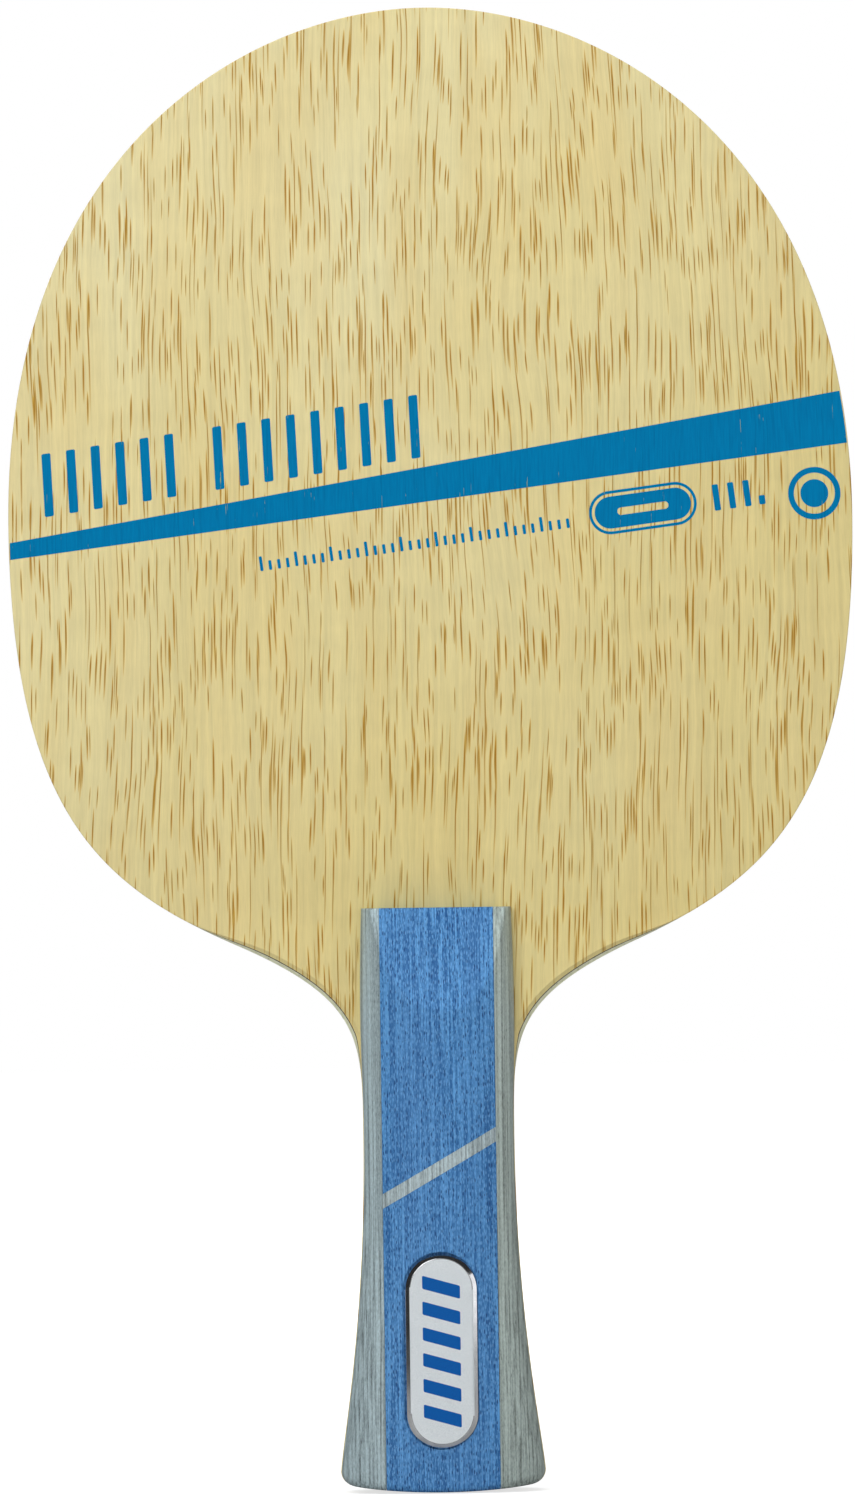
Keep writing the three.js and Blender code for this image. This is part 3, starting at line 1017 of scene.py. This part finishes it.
def outer_veneer(name, shift):
    """Pale yellow open-pored wood, a little riper to the right and towards the handle."""
    s = Shader(name)
    x, halo, core = veneer_pores(s, shift)
    broad = s.noise(s.cells(30, 30, 70, x, shift))
    lines = s.noise(s.cells(1.3, 2.5, 70, x, shift), detail=4.0, roughness=0.65)
    threads = s.noise(s.cells(0.65, 1.0, 60, x, shift + 41))
    fibre = s.noise(s.cells(0.2, 0.2, 3.5, x, shift), detail=3.0, roughness=0.6)
    # Soft bands across the grain: the veneer's curly figure, partly a painted sheen.
    figure_and_sheen = s.noise(s.cells(18, 18, 5, s.x, shift + 5))
    across = s.span(s.x, -70 * MM, 70 * MM, -0.22, 0.22)
    down = s.span(s.z, 260 * MM, 80 * MM, -0.3, 0.35)
    ripe = s.add(across, down, s.span(broad, 0.3, 0.7, -0.05, 0.45))
    colour = s.mix(s.span(ripe, -0.3, 0.9), VENEER_PALE, VENEER_RIPE)
    warm = s.noise(s.cells(9, 9, 45, x, shift + 13))
    colour = s.mix(s.span(warm, 0.45, 0.7, 0, 0.45), colour, VENEER_WARM)
    shade = s.add(
        s.span(lines, 0.3, 0.7, -0.05, 0.05),
        s.span(threads, 0.3, 0.7, -0.05, 0.045),
        s.span(fibre, 0.25, 0.75, -0.05, 0.05),
        s.span(figure_and_sheen, 0.3, 0.7, -0.025, 0.025),
        1.0,
    )
    colour = s.mix(1.0, colour, s.grey(shade), "MULTIPLY")
    colour = s.mix(s.times(halo, 0.98), colour, PORE_GOLDEN)
    colour = s.mix(s.times(core, 0.8), colour, PORE_BROWN)
    rough = s.add(s.span(fibre, 0.2, 0.8, 0.52, 0.62), s.times(core, 0.15))
    height = s.add(s.times(fibre, 0.22), s.times(halo, -0.5), s.times(core, -0.7))
    s.set_input("Specular IOR Level", 0.3)
    return s.done(colour, rough, height, 0.05)


def print_ink(name, shift):
    """Matt ink, sunk into the veneer's pores and worn off a few of them."""
    s = Shader(name)
    x, halo, core = veneer_pores(s, shift)
    fibre = s.noise(s.cells(0.25, 0.25, 4, x, shift), detail=3.0)
    worn = s.noise(s.cells(1.5, 1.5, 3, s.x, shift + 3), detail=3.0)
    colour = s.mix(s.span(fibre, 0.3, 0.7), INK_DEEP, INK_BRIGHT)
    colour = s.mix(s.times(halo, 0.25), colour, INK_IN_PORES)
    bare = s.times(s.span(core, 0.6, 0.9), s.span(worn, 0.56, 0.62, 0, 0.85))
    colour = s.mix(bare, colour, INK_WORN_OFF)
    rough = s.add(s.span(fibre, 0.2, 0.8, 0.55, 0.65), s.times(bare, 0.2))
    height = s.add(s.times(fibre, 0.3), s.times(core, -0.8))
    s.set_input("Specular IOR Level", 0.03)
    return s.done(colour, rough, height, 0.03)


def inner_veneer(name, shift, pale, dark, pore):
    """Plain wood, seen only on the edges of the laminate."""
    s = Shader(name)
    streak = s.noise(s.cells(0.9, 0.35, 30, shift=shift), detail=4.0, roughness=0.6)
    fibre = s.noise(s.cells(0.2, 0.12, 2.5, shift=shift), detail=3.0)
    cell = s.voronoi(s.cells(0.8, 0.5, 3, shift=shift), flat=False)
    specks = s.span(cell.outputs["Distance"], 0.28, 0.12, smooth=True)
    colour = s.mix(s.span(s.add(s.times(streak, 0.7), s.times(fibre, 0.3)), 0.32, 0.68), dark, pale)
    colour = s.mix(s.times(specks, 0.6), colour, pore)
    height = s.add(s.times(fibre, 0.4), s.times(specks, -0.8))
    rough = s.span(fibre, 0.2, 0.8, 0.6, 0.75)
    return s.done(colour, rough, height, 0.04)


def carbon_fleece(name, shift):
    """Black fibres that cross each other."""
    s = Shader(name)
    hair = s.noise(s.cells(1.4, 0.1, 0.25, shift=shift), detail=3.0)
    cross = s.noise(s.cells(0.25, 0.1, 1.4, shift=shift + 7), detail=3.0)
    lay = s.math("MAXIMUM", hair, cross)
    colour = s.mix(s.span(lay, 0.45, 0.75), FLEECE_DARK, FLEECE_PALE)
    return s.done(colour, s.span(lay, 0.3, 0.8, 0.55, 0.35), lay, 0.02)


def blue_wood(name, shift):
    """Blue dyed wood: streaks and fibres along the grain, dark flecks and pale glints."""
    s = Shader(name)
    slow = s.noise(s.cells(8, 14, 70, shift=shift))
    streak = s.noise(s.cells(0.42, 4, 22, shift=shift), detail=3.0, roughness=0.7)
    fibre = s.noise(s.cells(0.26, 1.2, 0.9, shift=shift), detail=3.0, roughness=0.75)
    cell = s.voronoi(s.flat_cells(0.42, 1.5, shift=shift))
    draw, _, _ = s.split_colour(cell.outputs["Color"])
    size = s.span(draw, 0.3, 1, 0.01, 0.38)
    flecks = s.span(s.math("DIVIDE", cell.outputs["Distance"], size), 1, 0.45, smooth=True)
    pale = s.voronoi(s.flat_cells(0.4, 1.3, shift=shift + 17))
    glints = s.span(pale.outputs["Distance"], 0.34, 0.12, smooth=True)
    blend = s.add(s.times(streak, 0.62), s.times(fibre, 0.38))
    colour = s.mix(s.span(blend, 0.43, 0.59), BLUE_DEEP, BLUE_BRIGHT)
    colour = s.mix(s.span(slow, 0.35, 0.65, 0, 0.35), colour, BLUE_DULL)
    colour = s.mix(s.times(glints, 0.5), colour, BLUE_GLINT)
    colour = s.mix(s.times(flecks, 0.9), colour, BLUE_FLECK)
    # Lighter on the thumb slope: partly a painted highlight where the slope faces up to the light,
    # and partly the grain cut at an angle.
    tone = s.times(s.grip_tone(0.02), s.add(s.times(s.on_thumb_slope(), 0.09), 1.0))
    colour = s.mix(1.0, colour, s.grey(tone), "MULTIPLY")
    rough = s.add(s.span(fibre, 0.2, 0.8, 0.5, 0.62), s.times(flecks, 0.12))
    height = s.add(s.times(fibre, 0.3), s.times(flecks, -0.8), s.times(streak, 0.2))
    s.set_input("Specular IOR Level", 0.3)
    return s.done(colour, rough, height, 0.05)


def grey_wood(name, shift, tone):
    """Grey dyed wood, laid up from thin layers whose dark edges run along the handle."""
    s = Shader(name)
    layer = s.noise(s.cells(0.42, 0.7, 160, shift=shift), detail=1.0)
    drift = s.noise(s.cells(2.2, 2.2, 90, shift=shift + 21), detail=1.0)
    count = s.add(s.times(s.x, 2 * math.pi / (LAYER_PITCH * MM)), s.times(drift, 9.0))
    lines = s.span(s.math("COSINE", count), 0.1, 0.95, smooth=True)
    wide = s.noise(s.cells(1.3, 2.0, 60, shift=shift + 4))
    fibre = s.noise(s.cells(0.24, 0.24, 0.8, shift=shift), detail=3.0, roughness=0.7)
    cell = s.voronoi(s.cells(0.42, 0.6, 1.7, shift=shift), flat=False)
    draw, _, _ = s.split_colour(cell.outputs["Color"])
    size = s.span(draw, 0.4, 1, 0.01, 0.34)
    flecks = s.span(s.math("DIVIDE", cell.outputs["Distance"], size), 1, 0.35, smooth=True)
    shade = s.add(
        s.span(layer, 0.40, 0.55, -0.22, 0.12),
        s.times(lines, -0.28),
        s.span(wide, 0.3, 0.7, -0.06, 0.06),
        s.span(fibre, 0.3, 0.7, -0.25, 0.27),
        s.times(flecks, -0.3),
        # Lighter on the thumb slope: partly a painted highlight where the slope faces up to the
        # light, and partly the grain cut at an angle.
        s.times(s.on_thumb_slope(), 0.16),
        1.0,
    )
    shade = s.times(shade, s.grip_tone(0.05))
    colour = s.mix(1.0, tone, s.grey(shade), "MULTIPLY")
    rough = s.span(fibre, 0.2, 0.8, 0.5, 0.62)
    height = s.add(s.times(fibre, 0.3), s.times(layer, 0.4), s.times(flecks, -0.7))
    s.set_input("Specular IOR Level", 0.3)
    return s.done(colour, rough, height, 0.03)


def badge_satin(name):
    """The plate's blasted face."""
    s = Shader(name)
    grain = s.noise(s.cells(0.12, 0.12, 0.12))
    cloud = s.noise(s.cells(3, 3, 7))
    colour = s.mix(s.span(grain, 0.3, 0.7), SATIN_DARK, SATIN_PALE)
    s.set_input("Metallic", 0.9)
    rough = s.add(s.span(grain, 0.3, 0.7, 0.34, 0.44), s.span(cloud, 0.3, 0.7, -0.03, 0.03))
    return s.done(colour, rough, grain, 0.006)


def badge_polish(name):
    """The plate's bright bevel and sides."""
    s = Shader(name)
    cloud = s.noise(s.cells(1.2, 1.2, 2.5), detail=3.0)
    scratch = s.noise(s.cells(0.05, 0.05, 1.5))
    colour = s.mix(s.span(cloud, 0.3, 0.7), POLISH_DARK, POLISH_PALE)
    s.set_input("Metallic", 1.0)
    return s.done(colour, s.span(scratch, 0.3, 0.7, 0.10, 0.17), scratch, 0.001)


def badge_ink(name):
    s = Shader(name)
    grain = s.noise(s.cells(0.12, 0.12, 0.12))
    colour = s.mix(s.span(grain, 0.3, 0.7), BADGE_INK_DEEP, BADGE_INK_BRIGHT)
    s.set_input("Specular IOR Level", 0.12)
    return s.done(colour, s.span(grain, 0.3, 0.7, 0.45, 0.55), grain, 0.003)


def adhesive_foam(name):
    s = Shader(name)
    foam = s.voronoi(s.cells(0.15, 0.15, 0.15), flat=False)
    colour = s.mix(foam.outputs["Distance"], FOAM_PALE, FOAM_DARK)
    return s.done(colour, 0.85, foam.outputs["Distance"], 0.02)


def studio_floor(name):
    """A grey floor that glows white for the camera alone, so that it throws back little light."""
    s = Shader(name)
    dust = s.noise(s.cells(40, 40, 40), detail=3.0)
    colour = s.mix(s.span(dust, 0.3, 0.7), FLOOR_DARK, FLOOR_PALE)
    s.set_input("Emission Color", WHITE)
    middle = s.node("ShaderNodeVectorMath", operation="LENGTH")
    s.put(middle.inputs[0], s.place)
    glow = s.span(middle.outputs["Value"], *FLOOR_GLOW_REACH, *FLOOR_GLOW)
    seen = s.node("ShaderNodeLightPath").outputs["Is Camera Ray"]
    s.set_input("Emission Strength", s.times(glow, seen))
    return s.done(colour, 0.8, dust, 0.01)


# ---- build


def add_plies():
    add_ply("core_ply", "core", inner_veneer("core_veneer", 3.0, **CORE_TONES), "core_veneer")
    for side, shift in (("front", 11.0), ("back", 47.0)):
        inner = inner_veneer(f"inner_veneer_{side}", shift, **INNER_TONES)
        add_ply(f"inner_ply_{side}", "inner", inner, "inner_veneer")
        fleece = carbon_fleece(f"carbon_{side}", shift)
        add_ply(f"carbon_fleece_{side}", "carbon", fleece, "carbon_fleece")
        outer = outer_veneer(f"outer_veneer_{side}", shift)
        add_ply(f"outer_ply_{side}", "outer", outer, "outer_veneer")


def cut_recess(piece):
    """Cuts the badge's recess, a little larger than the badge."""
    rings = [stadium_ring(-RECESS_CLEARANCE, lift) for lift in (0, BUTT_RISE)]
    rings = [[point + RECESS_OFFSET for point in ring] for ring in rings]
    cutter = rings_to_body("recess_cutter", rings)
    modifier = piece.modifiers.new("recess", "BOOLEAN")
    modifier.operation = "DIFFERENCE"
    modifier.solver = "EXACT"
    modifier.object = cutter
    depsgraph = bpy.context.evaluated_depsgraph_get()
    mesh = bpy.data.meshes.new_from_object(piece.evaluated_get(depsgraph))
    piece.modifiers.clear()
    piece.data = mesh
    bpy.data.objects.remove(cutter)


def add_handle():
    grids = centre_grids()
    grids["right_strip"] = strip_grid(1)
    grids["left_strip"] = mirrored(strip_grid(-1))
    for side, shift in (("front", 5.0), ("back", 71.0)):
        blue = blue_wood(f"blue_wood_{side}", shift)
        greys = {
            "inlay": grey_wood(f"grey_inlay_{side}", shift + 3, GREY_PALE),
            # The left strip gets the grey with painted light, and the right strip gets the grey
            # with painted shade.
            "left_strip": grey_wood(f"grey_left_{side}", shift + 8, GREY_COOL_PAINTED_LIT),
            "right_strip": grey_wood(f"grey_right_{side}", shift + 13, GREY_OLIVE_PAINTED_SHADE),
        }
        for part, grid in grids.items():
            node = f"{side}_{part}"
            piece = add_object(f"{node}_shaped", sheet_to_body(grid, side))
            if node == "front_lower_block":
                cut_recess(piece)
            if part in greys:
                finish(piece, greys[part], "grey_dyed_wood", node)
            else:
                finish(piece, blue, "blue_dyed_wood", node)


def add_plate():
    """The badge plate: a satin face inside a polished bevel."""
    profile = badge_profile()
    plate = rings_to_body("badge_plate_polished", [stadium_ring(*pair) for pair in profile])
    plate.data.materials.append(badge_satin("badge_satin"))
    finish(plate, badge_polish("badge_polish"), "badge_metal", "badge_plate")
    to_badge = on_recess_floor().inverted()
    for polygon in plate.data.polygons:
        lift = (to_badge @ (polygon.center / MM)).y
        on_bevel = lift < FACE_LIFT - FACE_TOLERANCE or polygon.area < MM * MM
        polygon.material_index = 1 if on_bevel else 0


def add_badge_marks():
    """A column of slanted bars on the plate's face."""
    bm = bmesh.new()
    to_paddle = on_recess_floor()
    bar = rounded_bar(BADGE_MARK_WIDTH, BADGE_MARK_HEIGHT, BADGE_MARK_ROUND)
    for i in range(BADGE_MARKS):
        z = BADGE_MARK_PITCH * ((BADGE_MARKS - 1) / 2 - i)
        rings = []
        for lift in (FACE_LIFT - FACE_TOLERANCE, FACE_LIFT + INK_THICKNESS):
            ring = [Vector((u, lift, z + v - BADGE_MARK_SLANT * u)) for u, v in bar]
            rings.append([to_paddle @ point for point in ring])
        add_rings(bm, rings)
    finish(add_object("badge_marks", bm), badge_ink("badge_ink"), "badge_metal")


def dress_adhesive():
    """The adhesive pad keeps its CAD shape and gets a material of its own."""
    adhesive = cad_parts["badge_adhesive"]
    adhesive.data.materials.clear()
    adhesive.data.materials.append(adhesive_foam("adhesive_foam"))


def add_print():
    ink = print_ink("print_ink", 11.0)
    add_stripe(ink)
    add_bars(ink)
    add_ticks(ink)
    add_marks(ink)
    add_pill(ink)
    add_disc(ink)


# ---- studio


def add_floor():
    bm = bmesh.new()
    half_size = FLOOR_HALF_SIZE / MM
    bmesh.ops.create_grid(bm, x_segments=FLOOR_SQUARES, y_segments=FLOOR_SQUARES, size=half_size)
    floor = add_object("studio_floor", bm)
    floor.location.z = CAD_BOX[0].z - FLOOR_DROP
    floor.data.materials.append(studio_floor("studio_floor"))


def add_area_light(name, place, size, power):
    data = bpy.data.lights.new(name, "AREA")
    data.shape = "RECTANGLE"
    data.size, data.size_y = size
    data.energy = power
    light = bpy.data.objects.new(name, data)
    bpy.context.scene.collection.objects.link(light)
    target = (CAD_BOX[0] + CAD_BOX[1]) / 2
    light.location = target + Vector(place)
    light.rotation_euler = (-Vector(place)).to_track_quat("-Z", "Y").to_euler()
    light.visible_camera = False
    return light


def add_studio():
    world = bpy.data.worlds.new("studio")
    bpy.context.scene.world = world
    world.use_nodes = True
    tree = world.node_tree
    background = tree.nodes["Background"]
    path = tree.nodes.new("ShaderNodeLightPath")
    ambient = tree.nodes.new("ShaderNodeMapRange")
    ambient.inputs["To Min"].default_value = AMBIENT
    ambient.inputs["To Max"].default_value = AMBIENT_IN_REFLECTIONS
    tree.links.new(path.outputs["Is Glossy Ray"], ambient.inputs["Value"])
    strength = tree.nodes.new("ShaderNodeMapRange")
    strength.inputs["To Max"].default_value = 1.0
    tree.links.new(path.outputs["Is Camera Ray"], strength.inputs["Value"])
    tree.links.new(ambient.outputs[0], strength.inputs["To Min"])
    tree.links.new(strength.outputs[0], background.inputs["Strength"])
    background.inputs["Color"].default_value = WHITE
    lights = {name: add_area_light(name, *settings) for name, settings in LIGHTS.items()}
    lights["overhead"].visible_glossy = False
    lights["back"].visible_glossy = False
    lights["card"].visible_diffuse = False
    bpy.context.scene.view_settings.view_transform = "Standard"


add_studio()
add_floor()
add_plies()
add_handle()
add_plate()
add_badge_marks()
dress_adhesive()
add_print()
